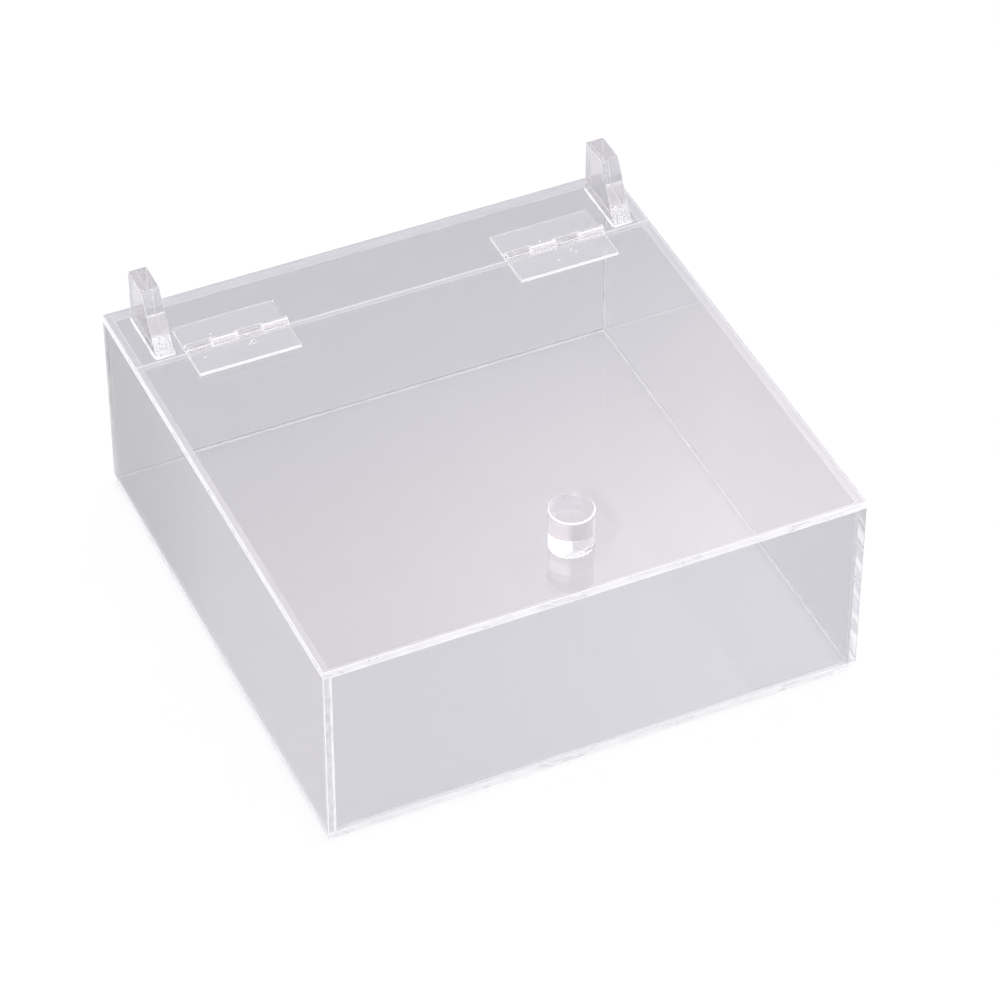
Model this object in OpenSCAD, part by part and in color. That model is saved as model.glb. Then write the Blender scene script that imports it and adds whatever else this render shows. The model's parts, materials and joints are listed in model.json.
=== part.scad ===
// Clear sheet box with a hinged lid.
// Origin: centre of the footprint, on the underside of the floor. +Z up, front towards -Y.

/* [Box] */
// Width of the box from side to side
box_w = 200; // [150:1:320]
// Depth of the box from front to back
box_d = 200; // [150:1:320]
// Height of the box with its lid shut, without stops and knob
box_h = 78; // [40:1:160]
// Thickness of the clear sheet that all panels are cut from
sheet_t = 3; // [2:0.5:6]
// Depth of the fixed strip behind the lid
strip_d = 32; // [26:1:60]
// Width of the slot between the strip and the lid
lid_slot = 0.5; // [0.4:0.1:1.5]
// Width of the scraped bevel round the lid
edge_bevel = 0.3; // [0.1:0.1:0.8]

/* [Knob] */
// Diameter of the knob
knob_d = 16; // [8:0.5:30]
// Height of the knob above the lid
knob_h = 16; // [8:0.5:30]
// Distance from the front of the box to the knob's axis
knob_setback = 23; // [16:0.5:60]
// Radius round the knob's upper rim
knob_rim_r = 0.6; // [0.2:0.1:1.5]

/* [Hinges] */
// Length of a hinge along its pin
hinge_w = 38.5; // [24:0.5:60]
// Depth of one leaf, from the pin's axis to its outer edge
leaf_d = 13.5; // [8:0.5:20]
// Thickness of a leaf
leaf_t = 1.5; // [1:0.1:2]
// Number of interleaved knuckles in a hinge
knuckle_count = 4; // [2:1:7]
// Outer diameter of the knuckles
barrel_d = 3.6; // [3.2:0.1:6]
// Diameter of the hinge pin
pin_d = 1.6; // [1:0.1:2.2]
// Least distance between a lid stop and the hinge beside it
hinge_stop_gap = 3.5; // [1:0.5:12]

/* [Lid stops] */
// Thickness of a stop
stop_t = 7; // [3:0.5:10]
// Height of a stop above the strip
stop_h = 21.5; // [12:0.5:40]
// Length of a stop's flat top, from its rear edge
stop_top_d = 12.5; // [6:0.5:16]
// Mean distance from the sides of the box to the stops
stop_side_inset = 7.5; // [2:0.5:14]
// How far both stops are glued off their even places, to the right
stop_shift = 1; // [-2:0.5:2]
// Distance from the back of the box to the stop
stop_rear_inset = 6; // [0:0.5:8]
// Distance from the front of the strip to the stop
stop_front_inset = 1.5; // [0.5:0.5:4]

/* [Hidden] */
$fn = 96;

// Clear, faintly cool tint of the sheet, and the warmer tint of the hinges
clear_sheet = [0.85, 0.86, 0.89, 0.45];
clear_block = [0.90, 0.90, 0.92, 0.55];
clear_hinge = [0.90, 0.86, 0.89, 0.60];

// Clearances of the hinge
barrel_lift = 0.2;    // knuckles above the sheets that they turn over
leaf_clear = 0.3;     // plate of one leaf to the knuckles of the other
knuckle_gap = 0.3;    // between two knuckles along the pin
pin_run_clear = 0.05; // round the pin, in the knuckles that turn on it
pin_hold_clear = 0.01; // round the pin, in the knuckles that hold it
pin_recess = 0.4;     // ends of the pin inside the outer knuckles
cut_over = 1;         // overrun of all cuts

wall_h = box_h - 2 * sheet_t;
cross_wall_w = box_w - 2 * sheet_t;
lid_z = box_h - sheet_t;
lid_d = box_d - strip_d - lid_slot;
stop_base_d = strip_d - stop_rear_inset - stop_front_inset;

knuckle_pitch = hinge_w / knuckle_count;
plate_start = barrel_d / 2 + leaf_clear;
hinge_inset = stop_side_inset + stop_t + abs(stop_shift) + hinge_stop_gap;
left_hinge_x = hinge_inset - box_w / 2;
right_hinge_x = box_w / 2 - hinge_inset - hinge_w;
pin_y = box_d / 2 - strip_d - lid_slot / 2;
pin_lift = barrel_d / 2 + barrel_lift;

// Ends of a knuckle along the pin. The outermost ends are flush with the leaves
function knuckle_start(k) = k * knuckle_pitch + (k == 0 ? 0 : knuckle_gap / 2);
function knuckle_end(k) = (k + 1) * knuckle_pitch - (k == knuckle_count - 1 ? 0 : knuckle_gap / 2);

// Rectangle with its corners cut off, centred
module bevelled_rectangle(w, h) {
  x = w / 2;
  y = h / 2;
  b = edge_bevel;
  polygon([
    [x, y - b], [x - b, y], [b - x, y], [-x, y - b],
    [-x, b - y], [b - x, -y], [x - b, -y], [x, b - y]
  ]);
}

// Plate with a bevel along all its edges, centred on its own middle
module bevelled_plate(w, d, t) {
  intersection() {
    linear_extrude(height = t, center = true) bevelled_rectangle(w, d);
    rotate([90, 0, 0]) linear_extrude(height = d, center = true) bevelled_rectangle(w, t);
    rotate([90, 0, 90]) linear_extrude(height = w, center = true) bevelled_rectangle(d, t);
  }
}

// Side wall, drawn on the left. It runs the full depth and covers the ends of the front and back
module side_wall() {
  translate([-box_w / 2, -box_d / 2, sheet_t])
    cube([sheet_t, box_d, wall_h]);
}

// Front or back wall, drawn at the front, between the side walls
module cross_wall() {
  translate([-cross_wall_w / 2, -box_d / 2, sheet_t])
    cube([cross_wall_w, sheet_t, wall_h]);
}

// Block on the strip that the opened lid leans against, drawn on the left:
// upright at the rear, flat on top, and sloped back on the side of the lid.
// The shift moves it inwards
module lid_stop(shift) {
  translate([stop_side_inset + shift - box_w / 2, box_d / 2 - stop_rear_inset, box_h])
    rotate([90, 0, 90])
      linear_extrude(height = stop_t)
        polygon([[0, 0], [0, stop_h], [-stop_top_d, stop_h], [-stop_base_d, 0]]);
}

// Puts a hinge part, drawn about the pin's axis on top of the sheets, in its place
module at_hinge(x) {
  translate([x, pin_y, box_h]) children();
}

// Rod along the pin's axis
module hinge_rod(d, start, end) {
  translate([start, 0, pin_lift])
    rotate([0, 90, 0])
      cylinder(d = d, h = end - start);
}

// One knuckle, with the web that joins it to its plate
module knuckle(k) {
  hinge_rod(barrel_d, knuckle_start(k), knuckle_end(k));
  translate([knuckle_start(k), 0, 0])
    cube([knuckle_end(k) - knuckle_start(k), plate_start + leaf_t, leaf_t]);
}

// One leaf towards +Y: its plate, every second knuckle and the bore for the pin
module hinge_leaf(first_knuckle, bore_clear) {
  difference() {
    union() {
      translate([0, plate_start, 0])
        cube([hinge_w, leaf_d - plate_start, leaf_t]);
      for (k = [first_knuckle : 2 : knuckle_count - 1]) knuckle(k);
    }
    hinge_rod(pin_d + 2 * bore_clear, -cut_over, hinge_w + cut_over);
  }
}

// The leaf glued to the strip holds the pin
module strip_leaf() {
  hinge_leaf(0, pin_hold_clear);
}

// The leaf glued to the lid turns on the pin
module lid_leaf() {
  mirror([0, 1, 0]) hinge_leaf(1, pin_run_clear);
}

module floor_panel() {
  color(clear_sheet)
    translate([-box_w / 2, -box_d / 2, 0])
      cube([box_w, box_d, sheet_t]);
}

module front_wall() {
  color(clear_sheet) cross_wall();
}

module back_wall() {
  color(clear_sheet) mirror([0, 1, 0]) cross_wall();
}

module left_wall() {
  color(clear_sheet) side_wall();
}

module right_wall() {
  color(clear_sheet) mirror([1, 0, 0]) side_wall();
}

module rear_strip() {
  color(clear_sheet)
    translate([-box_w / 2, box_d / 2 - strip_d, lid_z])
      cube([box_w, strip_d, sheet_t]);
}

module left_lid_stop() {
  color(clear_block) lid_stop(stop_shift);
}

module right_lid_stop() {
  color(clear_block) mirror([1, 0, 0]) lid_stop(-stop_shift);
}

module lid_panel() {
  color(clear_sheet)
    translate([0, (lid_d - box_d) / 2, lid_z + sheet_t / 2])
      bevelled_plate(box_w, lid_d, sheet_t);
}

// Turned knob: a plain cylinder whose upper rim is rounded
module lid_knob() {
  r = knob_d / 2;
  color(clear_block)
    translate([0, knob_setback - box_d / 2, box_h])
      rotate_extrude() {
        square([r, knob_h - knob_rim_r]);
        square([r - knob_rim_r, knob_h]);
        translate([r - knob_rim_r, knob_h - knob_rim_r]) circle(r = knob_rim_r);
      }
}

module left_hinge_strip_leaf() {
  color(clear_hinge) at_hinge(left_hinge_x) strip_leaf();
}

module left_hinge_lid_leaf() {
  color(clear_hinge) at_hinge(left_hinge_x) lid_leaf();
}

module left_hinge_pin() {
  color(clear_block) at_hinge(left_hinge_x) hinge_rod(pin_d, pin_recess, hinge_w - pin_recess);
}

module right_hinge_strip_leaf() {
  color(clear_hinge) at_hinge(right_hinge_x) strip_leaf();
}

module right_hinge_lid_leaf() {
  color(clear_hinge) at_hinge(right_hinge_x) lid_leaf();
}

module right_hinge_pin() {
  color(clear_block) at_hinge(right_hinge_x) hinge_rod(pin_d, pin_recess, hinge_w - pin_recess);
}

floor_panel();
front_wall();
back_wall();
left_wall();
right_wall();
rear_strip();
left_lid_stop();
right_lid_stop();
lid_panel();
lid_knob();
left_hinge_strip_leaf();
left_hinge_lid_leaf();
left_hinge_pin();
right_hinge_strip_leaf();
right_hinge_lid_leaf();
right_hinge_pin();
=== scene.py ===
# Clear acrylic box with a hinged lid, dressed around its packed construction
import json
import math
import bmesh
import bpy
import numpy as np
from mathutils import Matrix, Vector


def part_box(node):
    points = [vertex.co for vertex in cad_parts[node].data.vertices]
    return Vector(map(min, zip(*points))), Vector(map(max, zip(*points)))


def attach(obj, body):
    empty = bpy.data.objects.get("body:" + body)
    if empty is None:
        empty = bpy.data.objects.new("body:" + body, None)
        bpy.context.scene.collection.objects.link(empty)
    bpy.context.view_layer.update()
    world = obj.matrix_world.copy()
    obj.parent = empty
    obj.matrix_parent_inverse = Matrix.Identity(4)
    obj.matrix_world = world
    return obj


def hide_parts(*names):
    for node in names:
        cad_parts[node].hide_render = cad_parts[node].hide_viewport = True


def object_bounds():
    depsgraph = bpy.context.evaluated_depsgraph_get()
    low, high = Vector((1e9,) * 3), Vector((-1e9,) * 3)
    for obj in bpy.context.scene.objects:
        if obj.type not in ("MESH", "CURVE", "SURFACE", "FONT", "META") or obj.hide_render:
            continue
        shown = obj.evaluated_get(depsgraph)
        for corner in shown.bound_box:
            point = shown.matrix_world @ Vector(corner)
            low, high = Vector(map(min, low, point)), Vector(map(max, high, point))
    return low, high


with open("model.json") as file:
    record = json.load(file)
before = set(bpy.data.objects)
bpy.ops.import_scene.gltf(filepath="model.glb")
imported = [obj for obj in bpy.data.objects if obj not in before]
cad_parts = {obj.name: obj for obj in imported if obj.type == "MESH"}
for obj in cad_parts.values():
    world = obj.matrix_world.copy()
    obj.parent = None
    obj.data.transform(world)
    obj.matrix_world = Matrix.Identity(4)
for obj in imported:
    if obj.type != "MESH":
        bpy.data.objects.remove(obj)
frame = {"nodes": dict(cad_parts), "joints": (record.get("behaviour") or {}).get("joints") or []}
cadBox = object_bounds()
mm = 0.001
print("frame loaded")


# A wire is one output of a node: sums and products of wires add Math nodes
class Wire:
    def __init__(self, tree, socket):
        self.tree = tree
        self.socket = socket

    def maths(self, operation, first, second):
        return addNode(self.tree, "ShaderNodeMath", {"operation": operation}, {0: first, 1: second})

    def __add__(self, other):
        return self.maths("ADD", self, other)

    __radd__ = __add__

    def __mul__(self, other):
        return self.maths("MULTIPLY", self, other)

    __rmul__ = __mul__

    def highest(self, other):
        return self.maths("MAXIMUM", self, other)

    def output(self, name):
        return Wire(self.tree, self.socket.node.outputs[name])

    def spread(self, low, high, newLow=0.0, newHigh=1.0):  # smooth step from low to high
        return addNode(self.tree, "ShaderNodeMapRange", {"interpolation_type": "SMOOTHSTEP"}, {
            "Value": self, "From Min": low, "From Max": high, "To Min": newLow, "To Max": newHigh})


# Any other node: its type, its settings, then the values or wires of its sockets
def addNode(tree, kind, settings=None, inputs=None):
    node = tree.nodes.new(kind)
    for name, value in (settings or {}).items():
        if name == "stops":
            ramp = node.color_ramp
            while len(ramp.elements) < len(value):
                ramp.elements.new(1.0)
            for stop, (place, colour) in zip(ramp.elements, value):
                stop.position = place
                stop.color = (*colour, 1)
        else:
            setattr(node, name, value)
    for name, value in (inputs or {}).items():
        if isinstance(value, Wire):
            tree.links.new(value.socket, node.inputs[name])
        else:
            node.inputs[name].default_value = value
    return Wire(tree, node.outputs[0]) if len(node.outputs) else None


def newMaterial(name):
    material = bpy.data.materials.new(name)
    material.use_nodes = True
    material.node_tree.nodes.clear()
    return material, material.node_tree


# Closed outline through the corners, anticlockwise. Each corner becomes an arc that leaves both sides
# at radius x tan(half the turn), and each straight side has a point about every step.
def roundedOutline(corners, radius, step, arcPoints=4):
    corners = np.array(corners, float)
    ahead = np.roll(corners, -1, 0) - corners
    length = np.linalg.norm(ahead, axis=1)
    heading = np.arctan2(ahead[:, 1], ahead[:, 0])
    before = np.roll(heading, 1)
    turn = (heading - before + math.pi) % (2 * math.pi) - math.pi
    cut = radius * np.tan(np.abs(turn) / 2)
    points = []
    outward = []
    side = []
    for i, corner in enumerate(corners):
        angle = before[i] + np.linspace(0, turn[i], arcPoints)
        normal = np.stack([np.sin(angle), -np.cos(angle)], 1)
        start = corner - cut[i] * np.array([math.cos(before[i]), math.sin(before[i])])
        points.append(start + radius * (normal - normal[0]))
        outward.append(normal)
        free = length[i] - cut[i] - cut[(i + 1) % len(corners)]
        along = cut[i] + np.linspace(0, free, max(int(round(free / step)), 1) + 1)[1:-1]
        points.append(corner + along[:, None] * ahead[i] / length[i])
        outward.append(np.tile(normal[-1], (len(along), 1)))
        side.append(np.full(arcPoints + len(along), i))
    return np.concatenate(points), np.concatenate(outward), np.concatenate(side)


def meshFrom(name, vertices, faces, materials, faceMaterial, smooth=False):
    mesh = bpy.data.meshes.new(name)
    mesh.from_pydata(vertices.tolist(), [], faces)
    for material in materials:
        mesh.materials.append(material)
    mesh.polygons.foreach_set("material_index", np.array(faceMaterial, np.int32))
    mesh.polygons.foreach_set("use_smooth", np.full(len(faces), smooth))
    mesh.update()
    piece = bpy.data.objects.new(name, mesh)
    bpy.context.scene.collection.objects.link(piece)
    return piece


# A piece cut from sheet. Its half section, a quarter arc, a straight flank and a quarter arc, is carried
# along the rounded outline. The flank moves in by the saw's ripple: two sines of the distance walked
# along the outline, slanted across the thickness, but for the smooth sides. Two flat caps close it. The
# attribute edgePlace keeps the distance walked and the height, for the finish of the edges. On the
# joint side, 0 for the low cap and 1 for the high one, the end kinds meet a neighbour and have no bevel
# of another kind.
def cutSheet(name, corners, thickness, place, axes, cut, materials, sideKinds, jointSide=None):
    outline, outward, side = roundedOutline(corners, cut["cornerRadius"], cut["step"])
    arc = np.linspace(0, math.pi / 2, 4)
    inset = cut["bevel"] * (1 - np.sin(arc))
    rise = cut["bevel"] * (1 - np.cos(arc))
    flank = np.linspace(cut["bevel"], thickness - cut["bevel"], cut["flankRows"] + 2)[1:-1]
    insets = np.concatenate([inset, np.zeros(len(flank)), inset[::-1]])
    heights = np.concatenate([rise, flank, thickness - rise[::-1]])
    walked = np.cumsum(np.linalg.norm(outline - np.roll(outline, 1, 0), axis=1))
    phase = 2 * math.pi * (walked[None, :] + cut["slant"] * heights[:, None]) / cut["ripplePitch"]
    ripple = (1.6 + np.sin(phase) + 0.6 * np.sin(phase / 2.7 + 1.3)) / 3.2  # from 0 to 1
    mid = np.sqrt(np.sin(math.pi * np.clip(heights / thickness, 0, 1)))
    flankKinds = np.array(sideKinds)[side]
    isSawn = ~np.isin(flankKinds, cut["smoothKinds"])
    inwards = insets[:, None] + cut["rippleDepth"] * mid[:, None] * ripple * isSawn[None, :]
    flat = outline[None, :, :] - inwards[:, :, None] * outward[None, :, :]
    first, second, third = (np.array(axis, float) for axis in axes)
    vertices = flat[:, :, :1] * first + flat[:, :, 1:] * second + heights[:, None, None] * third
    vertices = vertices.reshape(-1, 3) + np.array(place, float)
    index = np.arange(len(heights) * len(outline)).reshape(len(heights), len(outline))
    quads = np.stack([index[:-1], np.roll(index[:-1], -1, 1), np.roll(index[1:], -1, 1), index[1:]], 2)
    faces = quads.reshape(-1, 4).tolist()
    kinds = np.tile(flankKinds, (len(heights) - 1, 1))
    bevels = np.array([cut["bevelKinds"][kind] for kind in sideKinds])[side]
    joined = np.where(np.isin(flankKinds, cut.get("endKinds", ())), flankKinds, bevels)
    kinds[:len(arc) - 1] = joined if jointSide == 0 else bevels
    kinds[1 - len(arc):] = joined if jointSide == 1 else bevels
    kinds = kinds.ravel().tolist() + [0, 0]
    faces += [index[0, ::-1].tolist(), index[-1].tolist()]
    piece = meshFrom(name, vertices, faces, materials, kinds)
    edgePlace = np.zeros((len(heights), len(outline), 3))
    edgePlace[:, :, 0] = walked[None, :]
    edgePlace[:, :, 1] = heights[:, None]
    attribute = piece.data.attributes.new("edgePlace", "FLOAT_VECTOR", "POINT")
    attribute.data.foreach_set("vector", edgePlace.ravel())
    return piece


# A turned piece: the profile, pairs of radius and height from the foot's centre to the crown's centre,
# is spun about a vertical axis. Both poles are single points.
def turned(name, profile, centre, around, materials, rowKinds):
    profile = np.array(profile, float)
    angle = np.linspace(0, 2 * math.pi, around, endpoint=False)
    rings = profile[1:-1]
    ring = np.stack([
        rings[:, :1] * np.cos(angle), rings[:, :1] * np.sin(angle), np.repeat(rings[:, 1:], around, 1)], 2)
    poles = np.array([[0, 0, profile[0, 1]], [0, 0, profile[-1, 1]]])
    vertices = np.concatenate([ring.reshape(-1, 3), poles]) + np.array(centre, float)
    index = np.arange(len(rings) * around).reshape(len(rings), around)
    quads = np.stack([index[:-1], np.roll(index[:-1], -1, 1), np.roll(index[1:], -1, 1), index[1:]], 2)
    foot, crown = len(vertices) - 2, len(vertices) - 1
    fans = [[foot, b, a] for a, b in zip(index[0], np.roll(index[0], -1))]
    fans += [[crown, a, b] for a, b in zip(index[-1], np.roll(index[-1], -1))]
    faces = quads.reshape(-1, 4).tolist() + [[int(i) for i in fan] for fan in fans]
    kinds = np.repeat(rowKinds[1:-1], around).tolist() + [rowKinds[0]] * around + [rowKinds[-1]] * around
    return meshFrom(name, vertices, faces, materials, kinds, smooth=True)


# Three points that round a corner of a profile: the middle one lies on the parabola through the others
def easedCorner(corner, before, after, ease):
    corner = np.array(corner, float)
    ahead = np.array([before, after]) - corner
    first, last = corner + ease * ahead / np.linalg.norm(ahead, axis=1, keepdims=True)
    return [first, (first + 2 * corner + last) / 4, last]


# Beads of solvent weld in inner corners: a fillet with a hollow face, whose leg is a fixed radius times
# one plus a slow ripple, is swept along each straight corner. The ripple is a product of two sines, and
# each bead starts it elsewhere. Each bead is closed by two end caps.
def weldBeads(name, runs, bead, material):
    arc = np.linspace(0, math.pi / 2, 5)
    hollow = np.stack([1 - np.sin(arc), 1 - np.cos(arc)], 1)
    profile = np.concatenate([[[0, 0]], hollow])
    allVertices = []
    faces = []
    for start, end, firstLeg, secondLeg in runs:
        start, end, firstLeg, secondLeg = (np.array(v, float) for v in (start, end, firstLeg, secondLeg))
        if np.dot(np.cross(firstLeg, secondLeg), end - start) < 0:
            firstLeg, secondLeg = secondLeg, firstLeg
        length = np.linalg.norm(end - start)
        rows = max(int(length / bead["step"]), 2)
        share = np.linspace(0, 1, rows)
        walked = share * length
        phase = walked / bead["pitch"]
        ripple = np.sin(phase + 7 * len(allVertices)) * np.sin(phase / 2.3)
        leg = bead["leg"] * (1 + bead["ripple"] * ripple)
        spread = profile[:, :1] * firstLeg + profile[:, 1:] * secondLeg
        grid = start + share[:, None, None] * (end - start) + leg[:, None, None] * spread[None]
        count = len(profile)
        index = np.arange(rows * count).reshape(rows, count) + sum(len(v) for v in allVertices)
        quads = np.stack([index[:-1], np.roll(index[:-1], -1, 1), np.roll(index[1:], -1, 1), index[1:]], 2)
        faces += quads.reshape(-1, 4).tolist() + [index[0, ::-1].tolist(), index[-1].tolist()]
        allVertices.append(grid.reshape(-1, 3))
    return meshFrom(name, np.concatenate(allVertices), faces, [material], [0] * len(faces))


easing = {"mergeWithin": 0.001 * mm, "flatWithin": 0.5, "sharpFrom": 40.0}


# Copy of a node with its doubles merged, its flat faces rejoined and its sharp edges rounded. The
# function kindOf gives each face's material from the face and from whether it is part of the rounding.
def easedCopy(name, node, edgeRound, materials, kindOf):
    source = frame["nodes"][node].data
    work = bmesh.new()
    work.from_mesh(source)
    bmesh.ops.remove_doubles(work, verts=work.verts, dist=easing["mergeWithin"])
    flat, sharp = math.radians(easing["flatWithin"]), math.radians(easing["sharpFrom"])
    bmesh.ops.dissolve_limit(work, angle_limit=flat, verts=work.verts, edges=work.edges)
    edges = [e for e in work.edges if len(e.link_faces) == 2 and e.calc_face_angle(0) > sharp]
    bevel = bmesh.ops.bevel(work, geom=edges, offset=edgeRound, segments=2, profile=0.5,
                            affect="EDGES", clamp_overlap=True)
    rounded = set(bevel["faces"])
    for face in work.faces:
        face.material_index = kindOf(face, face in rounded)
        face.smooth = False
    mesh = bpy.data.meshes.new(name)
    work.to_mesh(mesh)
    work.free()
    for material in materials:
        mesh.materials.append(material)
    piece = bpy.data.objects.new(name, mesh)
    bpy.context.scene.collection.objects.link(piece)
    return piece


# Lamps and scattered light go straight through a clear piece, tinted a little
def lampsPass(tree, shader, tint):
    rays = addNode(tree, "ShaderNodeLightPath")
    straight = addNode(tree, "ShaderNodeBsdfTransparent", None, {"Color": (*tint, 1)})
    either = rays.output("Is Shadow Ray").highest(rays.output("Is Diffuse Ray"))
    return addNode(tree, "ShaderNodeMixShader", None, {0: either, 1: shader, 2: straight})


# Clear face, a little hazy and wavy. It has one tint, or tints that follow one another from the front of
# the box to its back, which darken it towards the back as painted shade.
def clearFinish(name, look):
    material, tree = newMaterial(name)
    place = addNode(tree, "ShaderNodeTexCoord").output("Object")
    haze = addNode(tree, "ShaderNodeTexNoise", None, {
        "Vector": place, "Scale": look["hazeScale"], "Detail": 3.0})
    if "shadeTints" in look:
        depth = addNode(tree, "ShaderNodeSeparateXYZ", None, {0: place}).output("Y")
        share = depth.spread(cadBox[0][1], cadBox[1][1])
        colour = addNode(tree, "ShaderNodeValToRGB", {"stops": look["shadeTints"]}, {"Fac": share})
    else:
        colour = (*look["tint"], 1)
    roughness = look["roughness"] + haze.output("Fac") * look["hazeRoughness"]
    waves = addNode(tree, "ShaderNodeBump", None, {
        "Strength": look["waveStrength"], "Distance": look["waveHeight"], "Height": haze.output("Fac")})
    # A look's glow is emission: painted light that makes a rim or edge shine though it is no lamp.
    shader = addNode(tree, "ShaderNodeBsdfPrincipled", None, {
        "Base Color": colour,
        "Roughness": roughness,
        "Normal": waves,
        "IOR": look["ior"],
        "Transmission Weight": look["clear"],
        "Emission Color": (1, 1, 1, 1),
        "Emission Strength": look.get("glow", 0.0),
    })
    addNode(tree, "ShaderNodeOutputMaterial", None, {"Surface": lampsPass(tree, shader, look["passed"])})
    return material


# Sawn edge: ragged patches of white and of light grey that slant across the thickness. A grey line stays
# free of white above its heights, and a white line is white above them. The look's glow makes the edge
# shine as painted light.
def edgeFinishOf(name, look):
    material, tree = newMaterial(name)
    place = addNode(tree, "ShaderNodeAttribute", {"attribute_name": "edgePlace"}).output("Vector")
    split = addNode(tree, "ShaderNodeSeparateXYZ", None, {0: place})
    walked, height = split.output("X"), split.output("Y")
    slanted = addNode(tree, "ShaderNodeCombineXYZ", None, {
        "X": walked * (1 / look["patchLength"]) + height * (look["slant"] / look["patchLength"]),
        "Y": height * (1 / look["patchAcross"])})
    patches = addNode(tree, "ShaderNodeTexNoise", None, {
        "Vector": slanted, "Scale": 1.0, "Detail": look["ragged"], "Distortion": look["bend"]})
    white = patches.output("Fac").spread(*look["patchSpread"])
    if "greyLine" in look:
        white = white * height.spread(*look["greyLine"], 1.0, 0.0)
    if "whiteLine" in look:
        white = white * look["patchShare"] + height.spread(*look["whiteLine"], 0.0, 1 - look["patchShare"])
    colour = addNode(tree, "ShaderNodeValToRGB", {"stops": look["colours"]}, {"Fac": white})
    relief = addNode(tree, "ShaderNodeBump", None, {
        "Strength": look["reliefStrength"], "Distance": look["reliefHeight"],
        "Height": patches.output("Fac")})
    shader = addNode(tree, "ShaderNodeBsdfPrincipled", None, {
        "Base Color": colour.output("Color"),
        "Roughness": white * look["roughnessSpan"] + look["roughness"],
        "Normal": relief,
        "IOR": look["ior"],
        "Transmission Weight": look["clear"],
        "Emission Color": (1, 1, 1, 1),
        "Emission Strength": look["glow"],
    })
    addNode(tree, "ShaderNodeOutputMaterial", None, {"Surface": lampsPass(tree, shader, look["passed"])})
    return material


# Welded face: the two sheets are one there, but for a faint veil
def weldFinishOf(name, look):
    material, tree = newMaterial(name)
    place = addNode(tree, "ShaderNodeTexCoord").output("Object")
    cloud = addNode(tree, "ShaderNodeTexNoise", None, {
        "Vector": place, "Scale": look["cloudScale"], "Detail": 2.0}).output("Fac")
    veil = cloud.spread(*look["cloudSpread"], look["veilLow"], look["veilHigh"])
    shader = addNode(tree, "ShaderNodeBsdfPrincipled", None, {
        "Base Color": (*look["colour"], 1), "Roughness": look["roughness"], "IOR": look["ior"],
        "Alpha": veil})
    addNode(tree, "ShaderNodeOutputMaterial", None, {"Surface": shader})
    return material


# Welded foot: clear but dimpled, with white specks on its front part, partly dried solvent and partly a
# painted highlight where the front of the foot shines. It may have a hollow, where a bump that rises along
# Y tilts its front part, and a veil of its diffuse colour that begins towards its rear, which on the stops
# is a grey painted shade.
def footFinishOf(name, look):
    material, tree = newMaterial(name)
    place = addNode(tree, "ShaderNodeTexCoord").output("Object")
    depth = addNode(tree, "ShaderNodeSeparateXYZ", None, {0: place}).output("Y")
    specks = addNode(tree, "ShaderNodeTexNoise", None, {
        "Vector": place, "Scale": look["speckScale"], "Detail": 4.0, "Roughness": 0.65}).output("Fac")
    white = addNode(tree, "ShaderNodeBsdfDiffuse", None, {"Color": (*look["colour"], 1)})
    dimples = addNode(tree, "ShaderNodeTexNoise", None, {
        "Vector": place, "Scale": look["dimpleScale"]}).output("Fac")
    height = dimples * look["dimpleDepth"]
    if "hollow" in look:
        height = height + depth.spread(*look["hollow"], 0.0, look["hollowDepth"])
    uneven = addNode(tree, "ShaderNodeBump", None, {"Strength": 1.0, "Distance": 1.0, "Height": height})
    clear = addNode(tree, "ShaderNodeBsdfPrincipled", None, {
        "Base Color": (*look["tint"], 1), "Roughness": look["roughness"], "IOR": look["ior"],
        "Transmission Weight": 1.0, "Normal": uneven})
    share = specks.spread(*look["speckSpread"], 0.0, look["speckShare"])
    share = share * depth.spread(*look["speckUntil"], 1.0, 0.0)
    if "veil" in look:
        share = share.highest(depth.spread(*look["veil"], 0.0, look["veilShare"]))
    mixed = addNode(tree, "ShaderNodeMixShader", None, {0: share, 1: clear, 2: white})
    addNode(tree, "ShaderNodeOutputMaterial", None, {"Surface": lampsPass(tree, mixed, look["passed"])})
    return material


# These tints darken every sheet towards the back as painted shade, and the walls more than the lid and
# floor. The left wall's much darker tints, down to 0.455 at its back, and the right wall's darker front are
# painted shade too.
sheetLook = {
    "shadeTints": [(0.0, (0.843, 0.825, 0.838)), (0.5, (0.838, 0.827, 0.844)), (1.0, (0.785, 0.785, 0.807))],
    "passed": (0.965, 0.964, 0.968), "roughness": 0.004, "hazeRoughness": 0.012, "hazeScale": 60.0,
    "waveStrength": 0.05, "waveHeight": 0.01 * mm, "ior": 1.49, "clear": 1.0,
}
faceFinish = clearFinish("clearFaces", sheetLook)
wallFinish = clearFinish("wallFaces", {**sheetLook, "shadeTints": [
    (0.0, (0.784, 0.793, 0.823)), (0.5, (0.775, 0.772, 0.79)), (1.0, (0.74, 0.74, 0.762))]})
rightFinish = clearFinish("rightFaces", {**sheetLook, "shadeTints": [
    (0.0, (0.765, 0.748, 0.76)), (0.5, (0.82, 0.81, 0.826)), (1.0, (0.778, 0.778, 0.80))]})
leftFinish = clearFinish("leftFaces", {**sheetLook, "shadeTints": [
    (0.0, (0.66, 0.655, 0.675)), (0.5, (0.625, 0.622, 0.642)), (1.0, (0.455, 0.455, 0.476))]})
sawnLook = {
    "colours": [(0.0, (0.87, 0.86, 0.88)), (1.0, (0.98, 0.97, 0.98))],
    "patchLength": 9.0 * mm, "patchAcross": 4.0 * mm, "slant": 0.9, "bend": 0.6, "ragged": 3.0,
    "patchSpread": (0.35, 0.65), "roughness": 0.25, "roughnessSpan": 0.35, "reliefStrength": 0.3,
    "reliefHeight": 0.05 * mm, "passed": (0.96, 0.96, 0.96), "ior": 1.49, "clear": 0.15, "glow": 0.0,
}
# Sawn edges, wall ends and bright bevels glow a little: painted light that makes the edges shine white
# though they are no lamp.
edgeFinish = edgeFinishOf("sawnEdges", {**sawnLook, "glow": 0.08})
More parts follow.
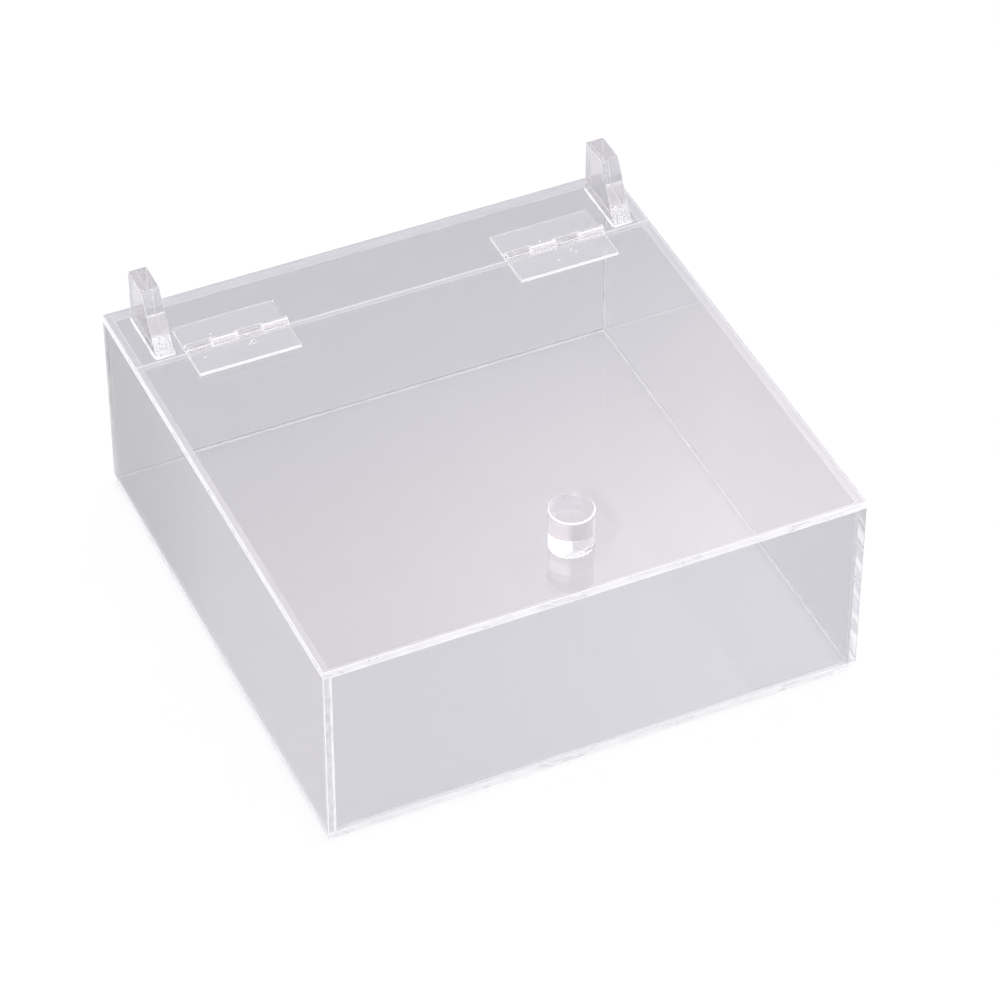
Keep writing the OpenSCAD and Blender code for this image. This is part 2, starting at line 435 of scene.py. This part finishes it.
endFinish = edgeFinishOf("sawnWallEnds", {
    **sawnLook, "colours": [(0.0, (0.70, 0.70, 0.73)), (0.6, (0.82, 0.81, 0.84)), (1.0, (1.0, 1.0, 1.0))],
    "patchLength": 4.0 * mm, "patchAcross": 9.0 * mm, "slant": -2.2, "bend": 0.5, "ragged": 1.6,
    "patchSpread": (0.43, 0.62), "greyLine": (2.5 * mm, 2.8 * mm), "reliefStrength": 0.6,
    "reliefHeight": 0.1 * mm, "clear": 0.25, "glow": 0.05,
})
cornerFinish = edgeFinishOf("weldedCorner", {
    **sawnLook, "colours": [(0.0, (0.66, 0.65, 0.68)), (0.4, (0.80, 0.79, 0.82)), (1.0, (1.0, 1.0, 1.0))],
    "patchLength": 5.0 * mm, "patchAcross": 1.6 * mm, "slant": 0.2, "bend": 0.4, "patchSpread": (0.3, 0.6),
    "roughness": 0.06, "roughnessSpan": 0.1, "clear": 0.25, "whiteLine": (1.9 * mm, 2.2 * mm),
    "patchShare": 0.4,
})
topFinish = edgeFinishOf("polishedTops", {
    **sawnLook, "colours": [(0.0, (0.84, 0.835, 0.855)), (1.0, (0.89, 0.88, 0.90))],
    "patchLength": 22.0 * mm, "roughness": 0.3, "roughnessSpan": 0.15, "reliefStrength": 0.05, "clear": 0.0,
})
bevelFinish = edgeFinishOf("brightBevels", {
    **sawnLook, "colours": [(0.0, (0.94, 0.94, 0.95)), (1.0, (1.0, 1.0, 1.0))], "patchLength": 3.0 * mm,
    "clear": 0.0, "glow": 0.12,
})
# The wall ends' bevels are dark grey: a painted shade line along the ends.
shadeLineFinish = edgeFinishOf("greyBevels", {
    **sawnLook, "colours": [(0.0, (0.42, 0.42, 0.44)), (1.0, (0.70, 0.70, 0.72))], "patchLength": 6.0 * mm,
    "clear": 0.0,
})
weldLook = {
    "colour": (0.95, 0.95, 0.96), "roughness": 0.5, "ior": 1.49, "cloudScale": 120.0,
    "cloudSpread": (0.3, 0.75), "veilLow": 0.35, "veilHigh": 0.6,
}
weldFinish = weldFinishOf("weldedFaces", weldLook)
frontWeldFinish = weldFinishOf("frontWelds", {
    **weldLook, "colour": (1.0, 1.0, 1.0), "veilLow": 0.9, "veilHigh": 1.0})
blockLook = {
    "passed": (0.97, 0.97, 0.97), "roughness": 0.01, "hazeRoughness": 0.02, "hazeScale": 200.0,
    "waveStrength": 0.05, "waveHeight": 0.01 * mm, "ior": 1.49, "clear": 1.0,
}
# The block's tints darken it a little towards the back, a painted shade.
blockFinish = clearFinish("clearBlock", {
    **blockLook, "shadeTints": [(0.0, (0.95, 0.94, 0.955)), (1.0, (0.93, 0.92, 0.94))]})
stopFaces = clearFinish("stopFaces", {
    **blockLook, "tint": (0.77, 0.757, 0.772), "roughness": 0.06, "hazeRoughness": 0.1, "clear": 0.74})
rodFinish = clearFinish("clearRod", {**blockLook, "tint": (0.92, 0.907, 0.917)})
whiteLook = {
    **blockLook, "tint": (1.0, 1.0, 1.0), "hazeRoughness": 0.2, "hazeScale": 900.0, "waveStrength": 0.2,
    "waveHeight": 0.02 * mm,
}
rimFinish = clearFinish("easedRim", {**whiteLook, "roughness": 0.25, "clear": 0.55})
frostedRim = clearFinish("frostedRim", {**whiteLook, "roughness": 0.4, "clear": 0.0, "glow": 0.15})
beadFinish = clearFinish("weldBead", {**whiteLook, "roughness": 0.35, "clear": 0.35})
# hingeRim and faintRim are lit and shaded copies of one rippled finish: hingeRim is white with a glow, a
# painted highlight, and faintRim stays mostly clear, a painted shade. hingeRim also dresses the pins'
# rounded edges, the stops' beads and the glue bubbles, where its glow is painted highlight too.
rippledLook = {**whiteLook, "roughness": 0.2, "waveStrength": 0.3, "waveHeight": 0.03 * mm}
hingeRim = clearFinish("hingeRim", {**rippledLook, "clear": 0.1, "glow": 0.08})
faintRim = clearFinish("faintRim", {**rippledLook, "clear": 0.7})
plasticLook = {**blockLook, "hazeScale": 500.0, "waveStrength": 0.1, "waveHeight": 0.02 * mm}
hingeFinish = clearFinish("hingePlastic", {
    **plasticLook, "tint": (0.985, 0.98, 0.99), "roughness": 0.03, "hazeRoughness": 0.08, "clear": 0.93})
pinFinish = clearFinish("pinPlastic", {
    **plasticLook, "tint": (1.0, 0.945, 0.97), "roughness": 0.06, "hazeRoughness": 0.1, "clear": 0.92})
knobFront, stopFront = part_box("lid_knob")[0].y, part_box("left_lid_stop")[0].y
footLook = {
    "speckScale": 1100.0, "speckSpread": (0.55, 0.62), "speckShare": 0.8, "dimpleScale": 900.0,
    "dimpleDepth": 0.025 * mm, "colour": (1.0, 0.985, 0.99), "tint": (0.95, 0.94, 0.955),
    "roughness": 0.02, "ior": 1.49, "passed": (0.97, 0.97, 0.97),
}
footFinish = footFinishOf("weldedFoot", {
    **footLook, "speckUntil": (knobFront + 8.5 * mm, knobFront + 10.0 * mm),
    "hollow": (knobFront, knobFront + 6.5 * mm), "hollowDepth": 0.45 * mm})
# The stops' foot turns grey towards its rear: painted shade seen through the stop.
stopFootFinish = footFinishOf("stopFoot", {
    **footLook, "speckUntil": (stopFront + 11.0 * mm, stopFront + 14.0 * mm),
    "veil": (stopFront + 11.0 * mm, stopFront + 14.0 * mm), "veilShare": 0.85,
    "colour": (0.62, 0.603, 0.617)})
print("finishes made")


def settle(piece, body, slot, *nodes):
    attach(piece, body)
    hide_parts(*nodes)


# Panels of sheet, each smaller by a glue gap on all sides. The faces are kind 0, and these are the others
sawn, welded, polished, wallEnd, brightBevel, weldedCorner, frontWeld, shadeLineBevel, brightTop = range(1, 10)
sheetCut = {
    "cornerRadius": 0.3 * mm, "bevel": 0.17 * mm, "step": 1.0 * mm, "flankRows": 3, "slant": 0.5,
    "ripplePitch": 5.5 * mm, "rippleDepth": 0.06 * mm, "glueGap": 0.02 * mm,
    "bevelKinds": {
        sawn: brightBevel, welded: welded, polished: polished, wallEnd: shadeLineBevel,
        weldedCorner: brightBevel, frontWeld: frontWeld, brightTop: brightBevel},
    "endKinds": (wallEnd, weldedCorner), "smoothKinds": (polished, brightTop),
}


def panelFinishes(faces):
    return [faces, edgeFinish, weldFinish, topFinish, endFinish, bevelFinish, cornerFinish, frontWeldFinish,
            shadeLineFinish, topFinish]


# A welded side reaches past the joint by its rounding, so that no groove is left beside the joint
def panel(node, normal, body, faces, sideKinds, jointSide):
    low, high = (np.array(corner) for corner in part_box(node))
    low, high = low + sheetCut["glueGap"], high - sheetCut["glueGap"]
    first, second = [(1, 2), (2, 0), (0, 1)][normal]
    past = sheetCut["cornerRadius"] + sheetCut["glueGap"]
    reach = [past * (kind in (welded, frontWeld)) for kind in sideKinds]
    low[second] -= reach[0]
    high[first] += reach[1]
    high[second] += reach[2]
    low[first] -= reach[3]
    corners = [(low[first], low[second]), (high[first], low[second]),
               (high[first], high[second]), (low[first], high[second])]
    axes = np.eye(3)[[first, second, normal]]
    piece = cutSheet(node + "_clear", corners, high[normal] - low[normal], axes[2] * low[normal], axes,
                     sheetCut, panelFinishes(faces), sideKinds, jointSide)
    settle(piece, body, "clear_sheet", node)


# Each panel's thin axis, its body, its faces' finish, its four sides and its joint side
for node, normal, body, faces, sideKinds, jointSide in (
    ("floor_panel", 2, "box", faceFinish, (sawn, sawn, sawn, sawn), None),
    ("front_wall", 1, "box", wallFinish, (frontWeld, polished, frontWeld, frontWeld), None),
    ("back_wall", 1, "box", wallFinish, (welded, polished, welded, welded), None),
    ("left_wall", 0, "box", leftFinish, (welded, wallEnd, brightTop, weldedCorner), 1),
    ("right_wall", 0, "box", rightFinish, (welded, wallEnd, brightTop, wallEnd), 0),
    ("rear_strip", 2, "box", faceFinish, (polished, sawn, polished, sawn), None),
    ("lid_panel", 2, "lid", faceFinish, (sawn, sawn, polished, sawn), None),
):
    panel(node, normal, body, faces, sideKinds, jointSide)

# Weld beads inside: round the floor, up the four corners and under the rear strip
beadLook = {"leg": 0.45 * mm, "ripple": 0.35, "pitch": 3.1 * mm, "step": 1.0 * mm, "inset": 0.03 * mm}
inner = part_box("right_wall")[0].x - beadLook["inset"]
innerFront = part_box("front_wall")[1].y + beadLook["inset"]
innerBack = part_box("back_wall")[0].y - beadLook["inset"]
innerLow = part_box("right_wall")[0].z + beadLook["inset"]
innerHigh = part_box("right_wall")[1].z - beadLook["inset"]
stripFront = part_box("rear_strip")[0].y
runs = []
for x, inX in ((-inner, (1, 0, 0)), (inner, (-1, 0, 0))):
    runs.append(((x, innerFront, innerLow), (x, innerBack, innerLow), inX, (0, 0, 1)))
    runs.append(((x, stripFront, innerHigh), (x, innerBack, innerHigh), inX, (0, 0, -1)))
    for y, inY in ((innerFront, (0, 1, 0)), (innerBack, (0, -1, 0))):
        runs.append(((x, y, innerLow), (x, y, innerHigh), inX, inY))
for y, inY in ((innerFront, (0, 1, 0)), (innerBack, (0, -1, 0))):
    runs.append(((-inner, y, innerLow), (inner, y, innerLow), inY, (0, 0, 1)))
runs.append(((-inner, innerBack, innerHigh), (inner, innerBack, innerHigh), (0, -1, 0), (0, 0, -1)))
beads = weldBeads("weld_beads", runs, beadLook, beadFinish)
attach(beads, "box")
print("panels made")

# Stops: a trapezium in the upright plane along Y, as thick as its node is wide
easedEdge, blockSide, gluedFoot = range(1, 4)
stopCut = {
    "cornerRadius": 0.3 * mm, "bevel": 0.18 * mm, "step": 0.8 * mm, "flankRows": 4, "slant": 0.3,
    "ripplePitch": 3.0 * mm, "rippleDepth": 0.03 * mm, "glueGap": 0.02 * mm, "topDepth": 12.5 * mm,
    "bevelKinds": {blockSide: easedEdge, gluedFoot: easedEdge}, "smoothKinds": (gluedFoot,),
}
stopBead = {"leg": 0.5 * mm, "ripple": 0.3, "pitch": 1.7 * mm, "step": 0.5 * mm}
for node in ("left_lid_stop", "right_lid_stop"):
    low, high = (np.array(corner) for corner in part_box(node))
    low, high = low + stopCut["glueGap"], high - stopCut["glueGap"]
    corners = [(low[1], low[2]), (high[1], low[2]), (high[1], high[2]),
               (high[1] - stopCut["topDepth"], high[2])]
    axes = np.eye(3)[[1, 2, 0]]
    piece = cutSheet(node + "_clear", corners, high[0] - low[0], axes[2] * low[0], axes, stopCut,
                     [stopFaces, rimFinish, blockFinish, stopFootFinish],
                     (gluedFoot, blockSide, blockSide, blockSide))
    settle(piece, "box", "clear_block", node)
    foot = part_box(node)[0].z + stopCut["glueGap"]
    runs = []
    for x, outX in ((low[0], (-1, 0, 0)), (high[0], (1, 0, 0))):
        runs.append(((x, low[1], foot), (x, high[1], foot), outX, (0, 0, 1)))
    for y, outY in ((low[1], (0, -1, 0)), (high[1], (0, 1, 0))):
        runs.append(((low[0], y, foot), (high[0], y, foot), outY, (0, 0, 1)))
    beads = weldBeads(node + "_beads", runs, stopBead, hingeRim)
    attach(beads, "box")
print("stops made")

# Knob: a rod with a frosted, chamfered rim that glows as painted light, and a slightly eased foot. The
# chamfer's ends are a bit round
knobLook = {
    "rim": 0.5 * mm, "ease": 0.07 * mm, "foot": 0.15 * mm, "support": 0.1 * mm, "around": 128,
    "glueGap": 0.02 * mm,
}
low, high = (np.array(corner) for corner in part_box("lid_knob"))
knobRadius = (high[0] - low[0]) / 2 - knobLook["glueGap"]
knobHeight = high[2] - low[2] - knobLook["glueGap"]
rim, ease = knobLook["rim"], knobLook["ease"]
shoulder, crown = (knobRadius, knobHeight - rim), (knobRadius - rim, knobHeight)
rimProfile = np.array([
    *easedCorner(shoulder, (knobRadius, 0), crown, ease),
    *easedCorner(crown, shoulder, (0, knobHeight), ease)])
footArc = np.linspace(math.pi / 2, 0, 4)
footProfile = np.stack([knobRadius - knobLook["foot"] * (1 - np.cos(footArc)),
                        knobLook["foot"] * (1 - np.sin(footArc))], 1)
support = knobLook["support"]
knobProfile = np.concatenate([
    [[0, 0], [knobRadius - knobLook["foot"] - support, 0]], footProfile,
    [[knobRadius, knobLook["foot"] + support], [knobRadius, knobHeight - rim - ease - support]], rimProfile,
    [[knobRadius - rim - ease - support, knobHeight], [0, knobHeight]]])
knobCentre = ((low[0] + high[0]) / 2, (low[1] + high[1]) / 2, low[2] + knobLook["glueGap"])
rowKinds = [2] * 4 + [0] * 4 + [1] * 3 + [0] * 4  # the foot, the side, the frosted chamfer, the crown
knob = turned("lid_knob_clear", knobProfile, knobCentre, knobLook["around"],
              [rodFinish, frostedRim, footFinish], rowKinds)
settle(knob, "lid", "clear_block", "lid_knob")
print("knob made")

# Hinges: leaves and pins keep their construction and get eased edges
hingeLook = {
    "edgeRound": 0.34 * mm, "pinRound": 0.1 * mm, "barrelReach": 2.2 * mm,
    "barrelLines": {"strip": (22.0, 106.0), "lid": (-14.0, 70.0)}, "barrelLineWidth": 13.0, "barrelLineInside": 1.6 * mm,
}
hingeAxis = frame["joints"][0]["pos_m"]
clearLeaf, litWhiteEdge, shadedFaintEdge = range(3)


# A leaf's upper edges and its front and left sides are white, a painted highlight on the sides towards the
# light, and those at the back and right are faint, a painted shade. The ends of its knuckles are white too,
# and so are two lines along them, given as angles round the hinge's axis from the front. They lie towards
# the leaf that the knuckles belong to.
def leafKind(face, rounded, barrelLines):
    centre = face.calc_center_median()
    outwards = Vector((0, centre.y - hingeAxis[1], centre.z - hingeAxis[2]))
    if outwards.length > hingeLook["barrelReach"]:
        if abs(face.normal.z) > 0.9 or face.normal.z < -0.2:  # flat, or underneath
            return clearLeaf
        return shadedFaintEdge if face.normal.y > 0.2 or face.normal.x > 0.5 else litWhiteEdge
    angle = math.degrees(math.atan2(outwards.z, -outwards.y))
    onBarrelLine = any(abs(angle - barrelLine) < hingeLook["barrelLineWidth"] / 2 for barrelLine in barrelLines)
    isBarrelLine = onBarrelLine and outwards.length > hingeLook["barrelLineInside"]
    return litWhiteEdge if rounded or isBarrelLine or abs(face.normal.x) > 0.9 else clearLeaf


for side in ("left", "right"):
    for half, body in (("strip", "box"), ("lid", "lid")):
        node = side + "_hinge_" + half + "_leaf"
        piece = easedCopy(node + "_clear", node, hingeLook["edgeRound"], [hingeFinish, hingeRim, faintRim],
                          lambda face, rounded: leafKind(face, rounded, hingeLook["barrelLines"][half]))
        settle(piece, body, "clear_hinge", node)
    node = side + "_hinge_pin"
    piece = easedCopy(node + "_clear", node, hingeLook["pinRound"], [pinFinish, hingeRim],
                      lambda face, rounded: int(rounded))
    settle(piece, "box", "clear_block", node)


# Glue bubbles: each is a flat ring, an ellipse carried round most of a circle and tapered at both ends,
# half sunk in the leaf's top. Its place is in shares of the leaf's width and depth, its size in shares of
# the common ring, all listed, and it runs from the first to the last angle.
bubbleLook = {
    "ring": 0.85 * mm, "thick": 0.14 * mm, "height": 0.12 * mm, "around": 28, "across": 8,
    "taperFrom": 0.15, "leafThick": 1.5 * mm,
}
bubbleShares = {
    "left_hinge_lid_leaf": [
        (0.615, 0.54, 1.15, 20, 350), (0.57, 0.50, 0.3, 0, 340), (0.135, 0.50, 0.5, 60, 340)],
    "left_hinge_strip_leaf": [(0.30, 0.45, 0.4, 0, 340), (0.88, 0.25, 0.45, 90, 400)],
    "right_hinge_lid_leaf": [
        (0.62, 0.52, 0.9, 60, 260), (0.64, 0.42, 0.35, 0, 340), (0.44, 0.28, 0.7, 30, 160)],
    "right_hinge_strip_leaf": [(0.40, 0.35, 0.4, 60, 350)],
}


def bubbles(node, material):
    low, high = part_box(node)
    around, across = bubbleLook["around"], bubbleLook["across"]
    index = np.arange(around * across).reshape(around, across)
    lift = np.linspace(0, 2 * math.pi, across, endpoint=False)[None, :]
    taper = np.sin(np.linspace(bubbleLook["taperFrom"], math.pi - bubbleLook["taperFrom"], around))[:, None]
    height = low.z + bubbleLook["leafThick"] + bubbleLook["height"] * taper * np.sin(lift)
    rings = []
    faces = []
    for acrossShare, deepShare, ringShare, firstAngle, lastAngle in bubbleShares[node]:
        radius = ringShare * bubbleLook["ring"] + bubbleLook["thick"] * taper * np.cos(lift)
        angle = np.radians(np.linspace(firstAngle, lastAngle, around))[:, None]
        x = low.x + acrossShare * (high.x - low.x) + radius * np.cos(angle)
        y = low.y + deepShare * (high.y - low.y) + radius * np.sin(angle)
        here = index + index.size * len(rings)
        quads = np.stack([here[:-1], here[1:], np.roll(here[1:], -1, 1), np.roll(here[:-1], -1, 1)], 2)
        faces += quads.reshape(-1, 4).tolist() + [here[0].tolist(), here[-1, ::-1].tolist()]
        rings.append(np.stack([x, y, height], 2).reshape(-1, 3))
    kinds = [0] * len(faces)
    return meshFrom(node + "_bubbles", np.concatenate(rings), faces, [material], kinds, smooth=True)


for side in ("left", "right"):
    for half, body in (("strip", "box"), ("lid", "lid")):
        piece = bubbles(side + "_hinge_" + half + "_leaf", hingeRim)
        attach(piece, body)
print("hinges made")

# Stage: a white floor that keeps the box's shadow, a pale room whose sky is brighter, and one wide lamp
stageLook = {
    "floorSize": 6.0, "floorDrop": 0.2 * mm, "floorColour": 0.96, "ownWhite": 0.5,
    "room": 0.53, "skyFrom": 0.61, "skyTo": 0.72, "skyAdd": 3.0, "skyTowards": (0.97, 0.24, 0.0),
    "sideFrom": 0.41, "sideTo": 0.55, "sideLeast": 0.15, "leastUntil": (0.74, 0.84),
    "overTowards": (0.0, 0.239, 0.971), "overFrom": 0.895, "overTo": 0.935, "overAdd": 0.6,
    "roomColour": (0.97, 0.97, 1.0), "skyColour": (1.0, 0.94, 0.965),
    "lampStrength": 1.0, "lampWidth": 100.0, "lampFrom": (-0.35, -0.55, 0.76),
}
size, drop = stageLook["floorSize"], -stageLook["floorDrop"]
floorMesh = bpy.data.meshes.new("floor")
floorMesh.from_pydata([(-size, -size, drop), (size, -size, drop), (size, size, drop), (-size, size, drop)],
                      [], [(0, 1, 2, 3)])
floor = bpy.data.objects.new("floor", floorMesh)
bpy.context.scene.collection.objects.link(floor)
floorPaint, tree = newMaterial("floorPaint")
matt = addNode(tree, "ShaderNodeBsdfDiffuse", None, {"Color": (*[stageLook["floorColour"]] * 3, 1)})
white = addNode(tree, "ShaderNodeEmission", None, {"Color": (1, 1, 1, 1), "Strength": 1.0})
rays = addNode(tree, "ShaderNodeLightPath")
seen = rays.output("Is Glossy Ray").highest(rays.output("Is Transmission Ray"))
seen = rays.output("Is Camera Ray").highest(seen)
mixed = addNode(tree, "ShaderNodeMixShader", None, {0: seen * stageLook["ownWhite"], 1: matt, 2: white})
addNode(tree, "ShaderNodeOutputMaterial", None, {"Surface": mixed})
floorMesh.materials.append(floorPaint)

world = bpy.data.worlds.new("room")
bpy.context.scene.world = world
world.use_nodes = True
tree = world.node_tree
tree.nodes.clear()
heading = addNode(tree, "ShaderNodeTexCoord").output("Object")
height = addNode(tree, "ShaderNodeSeparateXYZ", None, {0: heading}).output("Z")
aim, overAim = (addNode(tree, "ShaderNodeVectorMath", {"operation": "DOT_PRODUCT"}, {
    0: heading, 1: stageLook[way]}).output("Value") for way in ("skyTowards", "overTowards"))
least = height.spread(*stageLook["leastUntil"], stageLook["sideLeast"], 0.0)
sky = height.spread(stageLook["skyFrom"], stageLook["skyTo"])
sky = sky * aim.spread(stageLook["sideFrom"], stageLook["sideTo"], least, 1.0)
over = overAim.spread(stageLook["overFrom"], stageLook["overTo"])
strength = sky * stageLook["skyAdd"] + over * stageLook["overAdd"] + stageLook["room"]
colours = [(0.0, stageLook["roomColour"]), (1.0, stageLook["skyColour"])]
colour = addNode(tree, "ShaderNodeValToRGB", {"stops": colours}, {"Fac": sky})
glow = addNode(tree, "ShaderNodeBackground", None, {"Color": colour, "Strength": strength})
addNode(tree, "ShaderNodeOutputWorld", None, {"Surface": glow})

lampData = bpy.data.lights.new("wideLamp", "SUN")
lampData.energy = stageLook["lampStrength"]
lampData.angle = math.radians(stageLook["lampWidth"])
lamp = bpy.data.objects.new("wideLamp", lampData)
bpy.context.scene.collection.objects.link(lamp)
lamp.rotation_euler = Vector(stageLook["lampFrom"]).to_track_quat("Z", "Y").to_euler()

# Camera, where the photographer stood
view = {
    "azimuth": -24.688, "elevation": 42.096, "roll": 0.055, "distance": 1633.2 * mm,
    "sideways": 8.34 * mm, "upwards": 25.37 * mm, "lens": 164.365, "sensor": 36.0,
}
turn, lift, roll = (math.radians(view[k]) for k in ("azimuth", "elevation", "roll"))
back = Vector((math.sin(turn) * math.cos(lift), -math.cos(turn) * math.cos(lift), math.sin(lift)))
level = Vector((math.cos(turn), math.sin(turn), 0))
upright = back.cross(level)
right = level * math.cos(roll) + upright * math.sin(roll)
up = upright * math.cos(roll) - level * math.sin(roll)
cameraData = bpy.data.cameras.new("camera")
cameraData.lens = view["lens"]
cameraData.sensor_width = view["sensor"]
camera = bpy.data.objects.new("camera", cameraData)
bpy.context.scene.collection.objects.link(camera)
camera.matrix_world = Matrix((
    (right.x, up.x, back.x, 0), (right.y, up.y, back.y, 0), (right.z, up.z, back.z, 0), (0, 0, 0, 1)))
camera.location = back * view["distance"] + right * view["sideways"] + up * view["upwards"]
bpy.context.scene.camera = camera

scene = bpy.context.scene
scene.view_settings.view_transform = "Standard"
scene.cycles.max_bounces = 20
scene.cycles.transmission_bounces = 20
scene.cycles.transparent_max_bounces = 32
scene.cycles.glossy_bounces = 10

print("stage and camera set")
